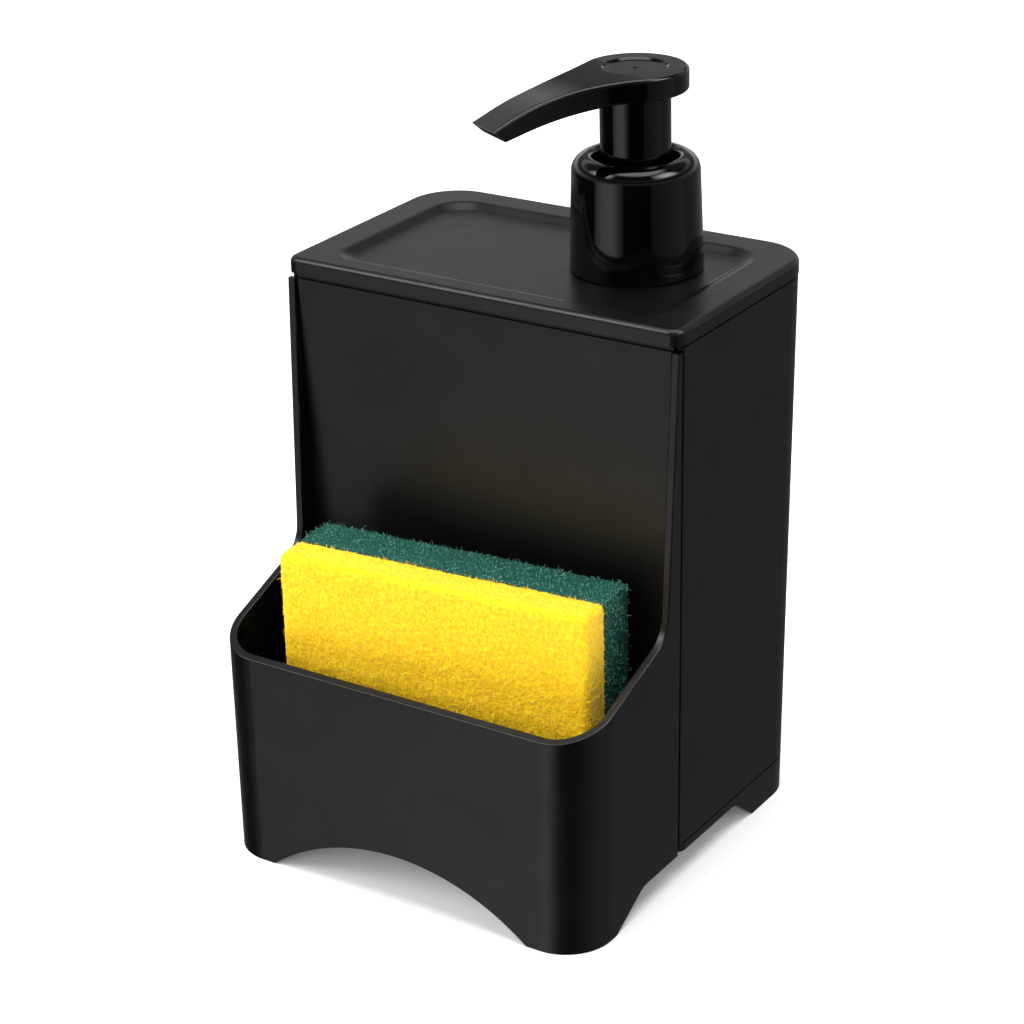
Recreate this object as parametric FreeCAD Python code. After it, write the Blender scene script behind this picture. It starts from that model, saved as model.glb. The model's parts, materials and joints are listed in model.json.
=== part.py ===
import FreeCAD, Part
import math
import os
from FreeCAD import Vector

# Soap pump caddy: a liquid soap reservoir under a flat lid with a lotion pump,
# and a front caddy whose two tall wings wrap the reservoir and whose deep tray
# holds a sponge. Millimetres, Z up, front towards -Y. The origin is on the
# table, under the middle of the whole object.

# Body envelope shared by front caddy, reservoir and base: it widens upwards
body_height = 140.9
top_half_width = 55.75
side_taper = 1.85
foot_front = -55.2
top_front = -52.5
foot_back = 51.8
top_back = 54.6
tray_corner_radius = 12.4
back_corner_radius = 12.6
seam_y = -10.7
seam_gap = 0.8
overrun = 5.0
point_tolerance = 0.0001
edge_tolerance = 0.01

# Front caddy
caddy_wall = 2.1
wing_top_y = -12.6
wing_foot_y = -16.7
wing_top_drop = 0.9
rim_bend_height = 69.9
rim_slope_share = 0.375
rim_bend_radius = 8.0
rim_edge_round = 0.35
tray_floor_underside = 15.0
tray_floor_thickness = 2.0
tray_back_wall_height = 40.0
tray_back_wall = 1.8
floor_rib_height = 1.5
floor_rib_width = 2.0
floor_rib_pitch = 14.0
floor_rib_count = 7
floor_rib_end_gap = 3.0
tongue_width = 14.0
tongue_thickness = 2.0
tongue_offset = 27.0
tongue_reach = 9.0
tongue_underplate_gap = 0.2

# Arches cut in the skirts, which leave four corner feet
front_arch_half_width = 37.7
front_arch_height = 13.1
side_arch_height = 7.2
side_arch_front_foot_y = -40.2
side_arch_front_top_y = -27.6
side_arch_back_top_y = 18.4
side_arch_back_foot_y = 27.4
side_arch_round = 6.0

# Reservoir
tank_wall = 2.2
tank_nose_clearance = 0.15
tank_front_top = -12.0
tank_front_foot = -7.2
tank_nose_radius = 0.4
tank_nose_overlap = 6.0
tank_rebate_depth = 0.7
tank_rebate_height = 0.9
tank_step_radius = 0.3
tank_inner_front_radius = 6.0
tank_floor_underside = 12.0
tank_floor_thickness = 2.2
base_seam_height = 9.8

# Base under the reservoir
base_wall = 2.2
base_seam_gap = 0.4
base_plate_thickness = 2.0
base_ring_clearance = 0.2
base_ring_wall = 2.0
base_front_radius = 3.0

# Lid
lid_height = 4.0
lid_side_overhang = 0.25
lid_front = -13.0
lid_back = 55.2
lid_front_radius = 3.5
lid_back_radius = 13.6
lid_edge_round = 1.5
recess_depth = 1.5
recess_border = 9.6
recess_front = -6.8
recess_back = 46.2
recess_front_radius = 6.0
recess_back_radius = 9.0
recess_slope_width = 3.0
recess_round = 2.4
lid_plate_thickness = 2.0
plug_skirt_clearance = 0.35
plug_skirt_wall = 1.6
plug_skirt_height = 6.0

# Flat seal between lid and reservoir rim, the dark line under the lid
lid_seal_thickness = 0.6
lid_seal_width = 1.4
lid_seal_inner_gap = 0.05

# Pump position and the neck that it screws on
pump_x = 21.5
pump_y = 26.15
neck_outer_radius = 13.5
neck_bore_radius = 11.2
neck_height = 16.0

# Pump closure
closure_foot_radius = 16.4
closure_top_radius = 15.45
closure_shoulder_radius = 4.0
closure_height = 28.3
closure_foot_gap = 0.15
closure_foot_round = 0.5
closure_thread_clearance = 0.6
closure_mouth_radius = 10.4
closure_mouth_round = 1.3
closure_mouth_wall = 1.5
closure_pocket_cover = 3.0
neck_gasket_thickness = 1.2
neck_gasket_inner_gap = 0.1
flange_thickness = 1.6
flange_radius = 13.4

# Pump cylinder, hung from its flange in the neck
cup_radius = 10.9
cup_bore_radius = 9.7
cup_depth = 13.0
cup_floor_thickness = 1.6
barrel_radius = 8.2
barrel_bore_radius = 6.8
barrel_shoulder_height = 100.0
ball_chamber_radius = 3.4
ball_chamber_depth = 7.0
valve_hole_radius = 1.8
valve_web_thickness = 0.9
tube_socket_radius = 4.9
tube_socket_length = 12.5
dip_tube_radius = 3.2
dip_tube_bore_radius = 2.2
dip_tube_clearance = 0.05
dip_tube_end_gap = 2.0
inlet_ball_radius = 2.9
ball_seat_gap = 0.1

# Chaplet, the ring inside the closure that guides the stem and the skirt
chaplet_top_radius = 10.1
chaplet_top_height = 4.6
chaplet_cup_clearance = 0.1
skirt_running_clearance = 0.35
chaplet_web_thickness = 1.5
chaplet_web_gap = 0.2
guide_tube_radius = 6.3
guide_bore_clearance = 0.1
guide_tube_top_gap = 3.2

# Stem, piston, plug and return spring
stem_radius = 4.0
stem_bore_radius = 2.4
stem_length = 54.2
plug_head_radius = 5.6
plug_head_thickness = 1.8
plug_spigot_length = 6.0
plug_spigot_clearance = 0.05
piston_length = 6.5
piston_barrel_clearance = 0.08
piston_stem_clearance = 0.06
piston_waist_depth = 1.1
piston_lip_length = 1.6
spring_wire_radius = 0.55
spring_mean_radius = 5.0
spring_active_turns = 6
spring_end_turns = 1
spring_end_pitch = 1.7
spring_seat_gap = 0.05
retainer_radius = 6.7
retainer_hole_radius = 2.2
retainer_thickness = 1.0
retainer_slot_reach = 4.2
retainer_slot_width = 1.3
retainer_slot_count = 3

# Pump head: a round disc that runs into the spout, over a skirt
head_top_above_closure = 21.25
head_radius = 12.9
head_thickness = 5.5
head_top_round = 0.9
head_underside_round = 0.8
dish_radius = 7.45
dish_depth = 0.45
dish_edge_width = 0.6
gate_mark_radius = 0.6
gate_mark_depth = 0.3
skirt_radius = 8.6
skirt_wall = 1.7
skirt_entry_depth = 7.6
socket_clearance = 0.05
socket_wall = 1.5
socket_length = 8.5
feed_radius = 2.0
spout_bearing = 62.5
spout_reach = 41.5
spout_half_width = 5.55
spout_flare_radius = 62.0
spout_wall = 1.2
# Distance along the spout and fall of its line, both as shares of the spout's reach
spout_top_shares = ((0.1, 0.0), (0.24, 0.008), (0.38, 0.023), (0.59, 0.058), (0.79, 0.111), (1.0, 0.195))
spout_under_shares = ((0.1, 0.0), (0.26, 0.011), (0.38, 0.026), (0.56, 0.055), (0.75, 0.095), (0.918, 0.136))
edge_slope_limit_share = 0.5

# Sponge: a foam block with a scouring layer glued on its back
sponge_length = 83.0
foam_thickness = 9.8
scourer_thickness = 12.6
sponge_height = 61.6
sponge_x = 1.0
sponge_y = -28.5
sponge_turn = 4.5
sponge_seat_gap = 0.3
sponge_corner_round = 2.0

# Widths and levels that follow from the sizes above
foot_half_width = top_half_width - side_taper
lid_half_width = top_half_width + lid_side_overhang
recess_half_width = lid_half_width - recess_border
lid_underside = body_height + lid_seal_thickness
lid_top = lid_underside + lid_height
recess_floor = lid_top - recess_depth
tray_floor_top = tray_floor_underside + tray_floor_thickness
tank_floor_top = tank_floor_underside + tank_floor_thickness
base_top = base_seam_height - base_seam_gap
base_plate_underside = base_top - base_plate_thickness
neck_top = recess_floor + neck_height
gasket_top = neck_top + neck_gasket_thickness
flange_top = gasket_top + flange_thickness
closure_foot = recess_floor + closure_foot_gap
closure_top = closure_foot + closure_height
closure_bore_radius = neck_outer_radius + closure_thread_clearance
cup_floor = flange_top - cup_depth
valve_chamber_floor = barrel_shoulder_height - ball_chamber_depth
valve_seat_foot = valve_chamber_floor - (ball_chamber_radius - valve_hole_radius)
socket_ceiling = valve_seat_foot - valve_web_thickness
socket_foot = socket_ceiling - tube_socket_length
head_top = closure_top + head_top_above_closure
head_underside = head_top - head_thickness
stem_top = head_underside
stem_foot = stem_top - stem_length
skirt_foot = closure_top - skirt_entry_depth
step_y = seam_y + seam_gap / 2
caddy_back_y = seam_y - seam_gap / 2
reach = lid_half_width + overrun
sponge_thickness = foam_thickness + scourer_thickness
sponge_foot = tray_floor_top + floor_rib_height + sponge_seat_gap


def at_height(foot, top, height):
    """Value of an envelope size at a height, which changes evenly from foot to top."""
    return foot + (top - foot) * height / body_height


def half_width_at(height):
    return at_height(foot_half_width, top_half_width, height)


def back_at(height):
    return at_height(foot_back, top_back, height)


def tank_front_at(height):
    return at_height(tank_front_foot, tank_front_top, height)


def rounded_loop(corners, place):
    """Closed wire through corners (u, v, radius), each rounded by a tangent arc."""
    edges = []
    starts = []
    ends = []
    count = len(corners)
    for index in range(count):
        u, v, radius = corners[index]
        here = Vector(u, v, 0)
        before = Vector(corners[index - 1][0], corners[index - 1][1], 0)
        after = Vector(corners[(index + 1) % count][0], corners[(index + 1) % count][1], 0)
        if radius == 0:
            starts.append(here)
            ends.append(here)
            edges.append(None)
            continue
        back = (before - here).normalize()
        ahead = (after - here).normalize()
        half_angle = back.getAngle(ahead) / 2
        tangent = radius / math.tan(half_angle)
        middle = (back + ahead).normalize()
        centre = here + middle * (radius / math.sin(half_angle))
        starts.append(here + back * tangent)
        ends.append(here + ahead * tangent)
        edges.append(Part.Arc(place(starts[-1]), place(centre - middle * radius), place(ends[-1])).toShape())
    loop = []
    for index in range(count):
        if edges[index] is not None:
            loop.append(edges[index])
        first = place(ends[index])
        second = place(starts[(index + 1) % count])
        if first.distanceToPoint(second) > point_tolerance:
            loop.append(Part.makeLine(first, second))
    return Part.Wire(loop)


def plan_loop(half_width, front, back, front_radius, back_radius, height):
    """Rounded rectangle seen from above, at one height."""
    corners = [
        (half_width, front, front_radius),
        (half_width, back, back_radius),
        (-half_width, back, back_radius),
        (-half_width, front, front_radius),
    ]
    return rounded_loop(corners, lambda point: Vector(point.x, point.y, height))


def between(lower_loop, upper_loop):
    return Part.makeLoft([lower_loop, upper_loop], True, True)


def body_skin(inset, low, high):
    """The whole body envelope, moved in by an inset, between two heights."""
    loops = []
    for height in (low, high):
        loops.append(plan_loop(
            half_width_at(height) - inset,
            at_height(foot_front, top_front, height) + inset,
            back_at(height) - inset,
            tray_corner_radius - inset,
            back_corner_radius - inset,
            height,
        ))
    return between(*loops)


def rear_skin(inset, low, high, front_radius):
    """The rear part of the envelope, behind the seam, moved in by an inset."""
    loops = []
    for height in (low, high):
        loops.append(plan_loop(
            half_width_at(height) - inset,
            step_y + inset,
            back_at(height) - inset,
            front_radius,
            back_corner_radius - inset,
            height,
        ))
    return between(*loops)


def side_prism(corners, half_reach):
    """Solid whose side view is the loop of corners (y, z, radius)."""
    wire = rounded_loop(corners, lambda point: Vector(-half_reach, point.x, point.y))
    return Part.Face(wire).extrude(Vector(2 * half_reach, 0, 0))


def box_between(low, high):
    size = high - low
    return Part.makeBox(size.x, size.y, size.z, low)


def turned(corners):
    """Solid of revolution about the pump's axis from corners (radius, z, rounding)."""
    wire = rounded_loop(corners, lambda point: Vector(pump_x + point.x, pump_y, point.y))
    face = Part.Face(wire)
    return face.revolve(Vector(pump_x, pump_y, 0), Vector(0, 0, 1), 360)


def round_arch(crown_height, front, back):
    """Round-topped cutter for an arch between two feet, running along Y."""
    radius = (front_arch_half_width ** 2 + front_arch_height ** 2) / (2 * front_arch_height)
    centre = Vector(0, front, crown_height - radius)
    return Part.makeCylinder(radius, back - front, centre, Vector(0, 1, 0))


def side_arch():
    """Flat-topped cutter for the arch in both side skirts, running along X."""
    return side_prism([
        (side_arch_front_foot_y, -overrun, 0),
        (side_arch_front_foot_y, 0, 0),
        (side_arch_front_top_y, side_arch_height, side_arch_round),
        (side_arch_back_top_y, side_arch_height, side_arch_round),
        (side_arch_back_foot_y, 0, 0),
        (side_arch_back_foot_y, -overrun, 0),
    ], reach)


def caddy_side_corners():
    """Side view of the front caddy: tray, sloping rim, bend and upright wing."""
    front = top_front - overrun
    rim_front_height = rim_bend_height - rim_slope_share * (wing_foot_y - front)
    return [
        (caddy_back_y, -overrun, 0),
        (caddy_back_y, body_height - wing_top_drop, 0),
        (wing_top_y, body_height - wing_top_drop, 0),
        (wing_foot_y, rim_bend_height, rim_bend_radius),
        (front, rim_front_height, 0),
        (front, -overrun, 0),
    ]


def rim_edges(shape):
    """Edges of the caddy along the border of its side view: wings, bends and tray rim."""
    border = rounded_loop(caddy_side_corners(), lambda point: Vector(0, point.x, point.y))
    found = []
    for edge in shape.Edges:
        middle = edge.valueAt((edge.FirstParameter + edge.LastParameter) / 2)
        if middle.y > wing_top_y - edge_tolerance or middle.z < tray_floor_top:
            continue
        if border.distToShape(Part.Vertex(0, middle.y, middle.z))[0] < edge_tolerance:
            found.append(edge)
    return found


def front_caddy():
    shell = body_skin(0, 0, body_height).common(side_prism(caddy_side_corners(), reach))
    room = body_skin(caddy_wall, tray_floor_top, body_height + overrun)
    skirt_room = body_skin(caddy_wall, -overrun, tray_floor_underside)
    shell = shell.cut(room).cut(skirt_room)
    shell = shell.makeFillet(rim_edge_round, rim_edges(shell))
    inner = half_width_at(0) - caddy_wall
    back_wall = box_between(
        Vector(-inner - caddy_wall / 2, caddy_back_y - tray_back_wall, base_plate_underside),
        Vector(inner + caddy_wall / 2, caddy_back_y, tray_back_wall_height),
    )
    caddy = shell.fuse(back_wall)
    caddy = caddy.fuse(floor_ribs()).fuse(joining_tongues())
    caddy = caddy.cut(round_arch(front_arch_height, top_front - overrun, foot_front + caddy_wall + overrun))
    middle = box_between(
        Vector(caddy_wall - inner, -reach, -2 * overrun),
        Vector(inner - caddy_wall, reach, 2 * side_arch_height),
    )
    return caddy.cut(side_arch().cut(middle)).removeSplitter()


def floor_ribs():
    """Ribs on the tray floor that lift the sponge so that it drains."""
    front = foot_front + caddy_wall + floor_rib_end_gap
    back = caddy_back_y - tray_back_wall - floor_rib_end_gap
    ribs = []
    for index in range(floor_rib_count):
        middle = (index - (floor_rib_count - 1) / 2) * floor_rib_pitch
        ribs.append(box_between(
            Vector(middle - floor_rib_width / 2, front, tray_floor_underside + tray_floor_thickness / 2),
            Vector(middle + floor_rib_width / 2, back, tray_floor_top + floor_rib_height),
        ))
    return ribs[0].multiFuse(ribs[1:])


def joining_tongues():
    """Two tongues that carry the base plate's front edge, each hung from the tray's back wall."""
    top = base_plate_underside - tongue_underplate_gap
    parts = []
    for side in (-1, 1):
        left = side * tongue_offset - tongue_width / 2
        right = left + tongue_width
        parts.append(box_between(
            Vector(left, caddy_back_y - tray_back_wall, top - tongue_thickness),
            Vector(right, caddy_back_y + tongue_reach, top),
        ))
        parts.append(box_between(
            Vector(left, caddy_back_y - tray_back_wall, top - tongue_thickness),
            Vector(right, caddy_back_y, base_top),
        ))
    return parts[0].multiFuse(parts[1:])


def tank_nose(low, high):
    """Narrow front of the reservoir, which fills the space between the wings."""
    loops = []
    for height in (low, high):
        loops.append(plan_loop(
            half_width_at(height) - caddy_wall - tank_nose_clearance,
            tank_front_at(height),
            step_y + tank_nose_overlap,
            tank_nose_radius,
            tank_nose_radius / 2,
            height,
        ))
    return between(*loops)


def tank_room(low, high):
    """Inside of the reservoir."""
    loops = []
    for height in (low, high):
        loops.append(plan_loop(
            half_width_at(height) - tank_wall,
            tank_front_at(height) + tank_wall,
            back_at(height) - tank_wall,
            tank_inner_front_radius,
            back_corner_radius - tank_wall,
            height,
        ))
    return between(*loops)


def space_before_tank(low, high):
    """What lies in front of the leaning front wall, between the wings."""
    loops = []
    for height in (low, high):
        loops.append(plan_loop(
            half_width_at(height) - caddy_wall - tank_nose_clearance,
            step_y - overrun,
            tank_front_at(height),
            tank_nose_radius / 2,
            tank_nose_radius / 2,
            height,
        ))
    return between(*loops)


def reservoir():
    rear = rear_skin(0, base_seam_height, body_height, tank_step_radius)
    nose = tank_nose(tank_floor_underside, body_height)
    lean_start = body_height * (step_y - tank_front_foot) / (tank_front_top - tank_front_foot)
    front_space = space_before_tank(0, lean_start)
    foot_room = rear_skin(tank_wall, 0, tank_floor_underside, tank_nose_radius / 2)
    rebate = box_between(
        Vector(-reach, tank_front_top - overrun, body_height - tank_rebate_height),
        Vector(reach, tank_front_top + tank_rebate_depth, body_height + overrun),
    )
    tank = rear.cut(front_space).fuse(nose)
    tank = tank.cut(tank_room(tank_floor_top, body_height + overrun)).cut(foot_room)
    return tank.cut(rebate).removeSplitter()


def base_foot():
    skirt = rear_skin(0, 0, base_top, base_front_radius)
    hollow = rear_skin(base_wall, -overrun, base_plate_underside, base_front_radius / 2)
    ring_inset = tank_wall + base_ring_clearance
    ring = rear_skin(ring_inset, base_plate_underside, tank_floor_underside, base_front_radius / 2)
    ring_room = rear_skin(ring_inset + base_ring_wall, base_top, tank_floor_underside + overrun,
                          base_front_radius / 2)
    foot = skirt.cut(hollow).fuse(ring).cut(ring_room)
    foot = foot.cut(round_arch(side_arch_height, foot_back - base_wall - overrun, top_back + overrun))
    return foot.cut(side_arch()).removeSplitter()


def edges_at(shape, height):
    """Edges of a shape that lie wholly at one height."""
    found = []
    for edge in shape.Edges:
        box = edge.BoundBox
        if abs(box.ZMin - height) < edge_tolerance and abs(box.ZMax - height) < edge_tolerance:
            found.append(edge)
    return found


def recess_cutter():
    """Dished recess of the lid, with a sloping wall all round."""
    slope = recess_slope_width / recess_depth
    loops = []
    for height in (recess_floor, lid_top + overrun):
        inset = (lid_top - height) * slope
        loops.append(plan_loop(
            recess_half_width - inset,
            recess_front + inset,
            recess_back - inset,
            recess_front_radius - inset / 2,
            recess_back_radius - inset / 2,
            height,
        ))
    return between(*loops)


def plug_block(inset, low, high):
    """Part of the lid's plug skirt, which dips inside the reservoir's rim."""
    gap = tank_wall + plug_skirt_clearance + inset
    foot = lid_underside - plug_skirt_height
    loops = []
    for height in (low, high):
        loops.append(plan_loop(
            half_width_at(foot) - gap,
            tank_front_at(foot) + gap,
            back_at(foot) - gap,
            tank_inner_front_radius - plug_skirt_clearance - inset,
            back_corner_radius - gap,
            height,
        ))
    return between(*loops)


def lid():
    outline = plan_loop(lid_half_width, lid_front, lid_back, lid_front_radius, lid_back_radius, lid_underside)
    plate = Part.Face(outline).extrude(Vector(0, 0, lid_height))
    plate = plate.makeFillet(lid_edge_round, edges_at(plate, lid_top))
    plate = plate.cut(recess_cutter())
    plate = plate.makeFillet(recess_round, recess_edges(plate, lid_top))
    plate = plate.makeFillet(recess_round, recess_edges(plate, recess_floor))
    plug_foot = lid_underside - plug_skirt_height
    plate_underside = recess_floor - lid_plate_thickness
    plate = plate.fuse(plug_block(0, plug_foot, lid_underside))
    plate = plate.cut(plug_block(plug_skirt_wall, plug_foot - overrun, plate_underside))
    neck = turned([
        (0, plate_underside, 0),
        (neck_outer_radius, plate_underside, 0),
        (neck_outer_radius, neck_top, 0),
        (0, neck_top, 0),
    ])
    bore = Part.makeCylinder(neck_bore_radius, neck_height + 3 * overrun,
                             Vector(pump_x, pump_y, plate_underside - overrun))
    return plate.fuse(neck).cut(bore).removeSplitter()


def recess_edges(shape, height):
    """Border edges of the recess at one height, inside the lid's own border."""
    limit = lid_half_width - (lid_half_width - recess_half_width) / 2
    found = []
    for edge in edges_at(shape, height):
        box = edge.BoundBox
        if box.XMax < limit and box.XMin > -limit and box.YMax < lid_back - (lid_back - recess_back) / 2:
            if box.YMin > lid_front + (recess_front - lid_front) / 2:
                found.append(edge)
    return found


def lid_seal():
    inner_gap = tank_wall - lid_seal_inner_gap
    outer_gap = inner_gap - lid_seal_width
    loops = []
    for gap in (outer_gap, inner_gap):
        radius = tank_inner_front_radius + tank_wall - gap
        loops.append(plan_loop(
            top_half_width - gap,
            tank_front_top + gap,
            top_back - gap,
            radius,
            back_corner_radius - gap,
            body_height,
        ))
    outer = Part.Face(loops[0]).extrude(Vector(0, 0, lid_seal_thickness))
    inner = Part.Face(loops[1]).extrude(Vector(0, 0, lid_seal_thickness))
    return outer.cut(inner)


def pump_closure():
    return turned([
        (closure_bore_radius, closure_foot, 0),
        (closure_foot_radius, closure_foot, closure_foot_round),
        (closure_top_radius, closure_top, closure_shoulder_radius),
        (closure_mouth_radius, closure_top, closure_mouth_round),
        (closure_mouth_radius, flange_top, 0),
        (closure_mouth_radius + closure_mouth_wall, flange_top, 0),
        (closure_mouth_radius + closure_mouth_wall, closure_top - closure_pocket_cover, 0),
        (closure_bore_radius, closure_top - closure_pocket_cover, 0),
    ])


def neck_gasket():
    inner = cup_radius + neck_gasket_inner_gap
    return turned([
        (inner, neck_top, 0),
        (flange_radius, neck_top, 0),
        (flange_radius, gasket_top, 0),
        (inner, gasket_top, 0),
    ])


def pump_cylinder():
    cup_foot = cup_floor - cup_floor_thickness
    return turned([
        (cup_bore_radius, flange_top, 0),
        (cup_bore_radius, cup_floor, 0),
        (barrel_bore_radius, cup_floor, 0),
        (barrel_bore_radius, barrel_shoulder_height, 0),
        (ball_chamber_radius, barrel_shoulder_height, 0),
        (ball_chamber_radius, valve_chamber_floor, 0),
        (valve_hole_radius, valve_seat_foot, 0),
        (valve_hole_radius, socket_ceiling, 0),
        (dip_tube_radius + dip_tube_clearance, socket_ceiling, 0),
        (dip_tube_radius + dip_tube_clearance, socket_foot, 0),
        (tube_socket_radius, socket_foot, 0),
        (tube_socket_radius, valve_seat_foot, 0),
        (barrel_radius, barrel_shoulder_height - flange_thickness, 0),
        (barrel_radius, cup_foot, 0),
        (cup_radius, cup_foot, 0),
        (cup_radius, gasket_top, 0),
        (flange_radius, gasket_top, 0),
        (flange_radius, flange_top, 0),
    ])


def dip_tube():
    foot = tank_floor_top + dip_tube_end_gap
    length = socket_ceiling - dip_tube_clearance - foot
    base = Vector(pump_x, pump_y, foot)
    tube = Part.makeCylinder(dip_tube_radius, length, base)
    tube = tube.cut(Part.makeCylinder(dip_tube_bore_radius, length, base))
    slant = 4 * dip_tube_radius
    cutter = Part.makeBox(slant, slant, slant, Vector(0, -slant / 2, -slant))
    cutter.rotate(Vector(0, 0, 0), Vector(0, 1, 0), 45)
    cutter.translate(Vector(pump_x - dip_tube_radius, pump_y, foot))
    return tube.cut(cutter)


def inlet_ball():
    """Ball of the inlet valve, resting just above its cone seat of 45 degrees."""
    cone_tip = valve_seat_foot - valve_hole_radius
    height = cone_tip + inlet_ball_radius * math.sqrt(2) + ball_seat_gap
    return Part.makeSphere(inlet_ball_radius, Vector(pump_x, pump_y, height))


def ball_retainer():
    """Slotted washer over the ball's chamber, which keeps the ball in and carries the spring."""
    base = Vector(pump_x, pump_y, barrel_shoulder_height)
    washer = Part.makeCylinder(retainer_radius, retainer_thickness, base)
    washer = washer.cut(Part.makeCylinder(retainer_hole_radius, retainer_thickness, base))
    for index in range(retainer_slot_count):
        slot = box_between(
            Vector(pump_x, pump_y - retainer_slot_width / 2, barrel_shoulder_height - overrun),
            Vector(pump_x + retainer_slot_reach, pump_y + retainer_slot_width / 2,
                   barrel_shoulder_height + overrun),
        )
        slot.rotate(base, Vector(0, 0, 1), index * 360 / retainer_slot_count)
        washer = washer.cut(slot)
    return washer


def chaplet():
    """Ring that snaps in the cup, with a channel for the skirt round a guide tube."""
    outer_low = cup_bore_radius - chaplet_cup_clearance
    channel = skirt_radius + skirt_running_clearance
    web_foot = cup_floor + chaplet_web_gap
    web_top = web_foot + chaplet_web_thickness
    ring_top = flange_top + chaplet_top_height
    bore = stem_radius + guide_bore_clearance
    return turned([
        (bore, web_foot, 0),
        (outer_low, web_foot, 0),
        (outer_low, flange_top, 0),
        (chaplet_top_radius, flange_top, 0),
        (chaplet_top_radius, ring_top, rim_edge_round),
        (channel, ring_top, rim_edge_round),
        (channel, web_top, 0),
        (guide_tube_radius, web_top, 0),
        (guide_tube_radius, ring_top - guide_tube_top_gap, 0),
        (bore, ring_top - guide_tube_top_gap, 0),
    ])


def stem():
    base = Vector(pump_x, pump_y, stem_foot)
    rod = Part.makeCylinder(stem_radius, stem_length, base)
    return rod.cut(Part.makeCylinder(stem_bore_radius, stem_length, base))


def stem_plug():
    """Plug in the foot of the stem, whose head carries the spring."""
    spigot = stem_bore_radius - plug_spigot_clearance
    return turned([
        (0, stem_foot - plug_head_thickness, 0),
        (plug_head_radius, stem_foot - plug_head_thickness, 0),
        (plug_head_radius, stem_foot, 0),
        (spigot, stem_foot, 0),
        (spigot, stem_foot + plug_spigot_length, 0),
        (0, stem_foot + plug_spigot_length, 0),
    ])


def piston():
    """Piston with a sealing lip at each end and a waist between."""
    foot = stem_foot + piston_stem_clearance
    top = foot + piston_length
    outer = barrel_bore_radius - piston_barrel_clearance
    waist = outer - piston_waist_depth
    bore = stem_radius + piston_stem_clearance
    return turned([
        (bore, foot, 0),
        (outer, foot, 0),
        (outer, foot + piston_lip_length, 0),
        (waist, foot + piston_lip_length + piston_waist_depth, 0),
        (waist, top - piston_lip_length - piston_waist_depth, 0),
        (outer, top - piston_lip_length, 0),
        (outer, top, 0),
        (bore, top, 0),
    ])


def spring_rise(turn, active_pitch):
    """Height of the spring's wire after some turns: close at both ends, open between."""
    closed = spring_end_turns
    if turn <= closed:
        return turn * spring_end_pitch
    if turn <= closed + spring_active_turns:
        return closed * spring_end_pitch + (turn - closed) * active_pitch
    past = turn - closed - spring_active_turns
    return closed * spring_end_pitch + spring_active_turns * active_pitch + past * spring_end_pitch


def arc_from_tangent(start, tangent_point, end):
    """Arc from start to end whose end tangents meet at tangent_point."""
    chord_middle = (start + end) / 2
    half_chord = (end - start).Length / 2
    reach_out = tangent_point - chord_middle
    half_turn = math.acos(min(1.0, half_chord / (tangent_point - start).Length))
    bulge = half_chord * math.tan(half_turn / 2)
    middle = chord_middle + reach_out.normalize() * bulge
    return Part.Arc(start, middle, end).toShape()


def spring_path(steps_per_turn):
    """Centre line of the spring as tangent pairs of arcs, and its points."""
    foot = barrel_shoulder_height + retainer_thickness + spring_wire_radius + spring_seat_gap
    top = stem_foot - plug_head_thickness - spring_wire_radius - spring_seat_gap
    closed_rise = 2 * spring_end_turns * spring_end_pitch
    active_pitch = (top - foot - closed_rise) / spring_active_turns
    turns = spring_active_turns + 2 * spring_end_turns
    points = []
    tangents = []
    for index in range(turns * steps_per_turn + 1):
        turn = index / steps_per_turn
        angle = 2 * math.pi * turn
        step = 1 / (4 * steps_per_turn)
        low = spring_rise(max(0, turn - step), active_pitch)
        high = spring_rise(min(turns, turn + step), active_pitch)
        slope = (high - low) / (min(turns, turn + step) - max(0, turn - step)) / (2 * math.pi)
        points.append(Vector(pump_x + spring_mean_radius * math.cos(angle),
                             pump_y + spring_mean_radius * math.sin(angle),
                             foot + spring_rise(turn, active_pitch)))
        tangents.append(Vector(-spring_mean_radius * math.sin(angle),
                               spring_mean_radius * math.cos(angle), slope).normalize())
    edges = []
    for index in range(len(points) - 1):
        start, end = points[index], points[index + 1]
        leave, arrive = tangents[index], tangents[index + 1]
        span = end - start
        both = leave + arrive
        spread = 2 * (1 - leave.dot(arrive))
        along = span.dot(both)
        length = (math.sqrt(along ** 2 + spread * span.dot(span)) - along) / spread
        first = start + leave * length
        second = end - arrive * length
        joint = (first + second) / 2
        edges.append(arc_from_tangent(start, first, joint))
        edges.append(arc_from_tangent(joint, second, end))
    return edges, points, tangents


def spring_self_gap(points, steps_per_turn):
    """Least clear distance between neighbouring turns of the wire."""
    least = None
    for index, point in enumerate(points):
        for other in points[index + steps_per_turn // 2 + 1:]:
            gap = point.distanceToPoint(other) - 2 * spring_wire_radius
            if least is None or gap < least:
                least = gap
    return least


def return_spring():
    steps_per_turn = 4
    edges, points, tangents = spring_path(steps_per_turn)
    print("return spring, least gap to itself in mm:", round(spring_self_gap(points, steps_per_turn), 3))
    path = Part.Wire(edges)
    section = Part.Wire(Part.Circle(points[0], tangents[0], spring_wire_radius).toShape())
    return path.makePipeShell([section], True, False)


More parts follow.
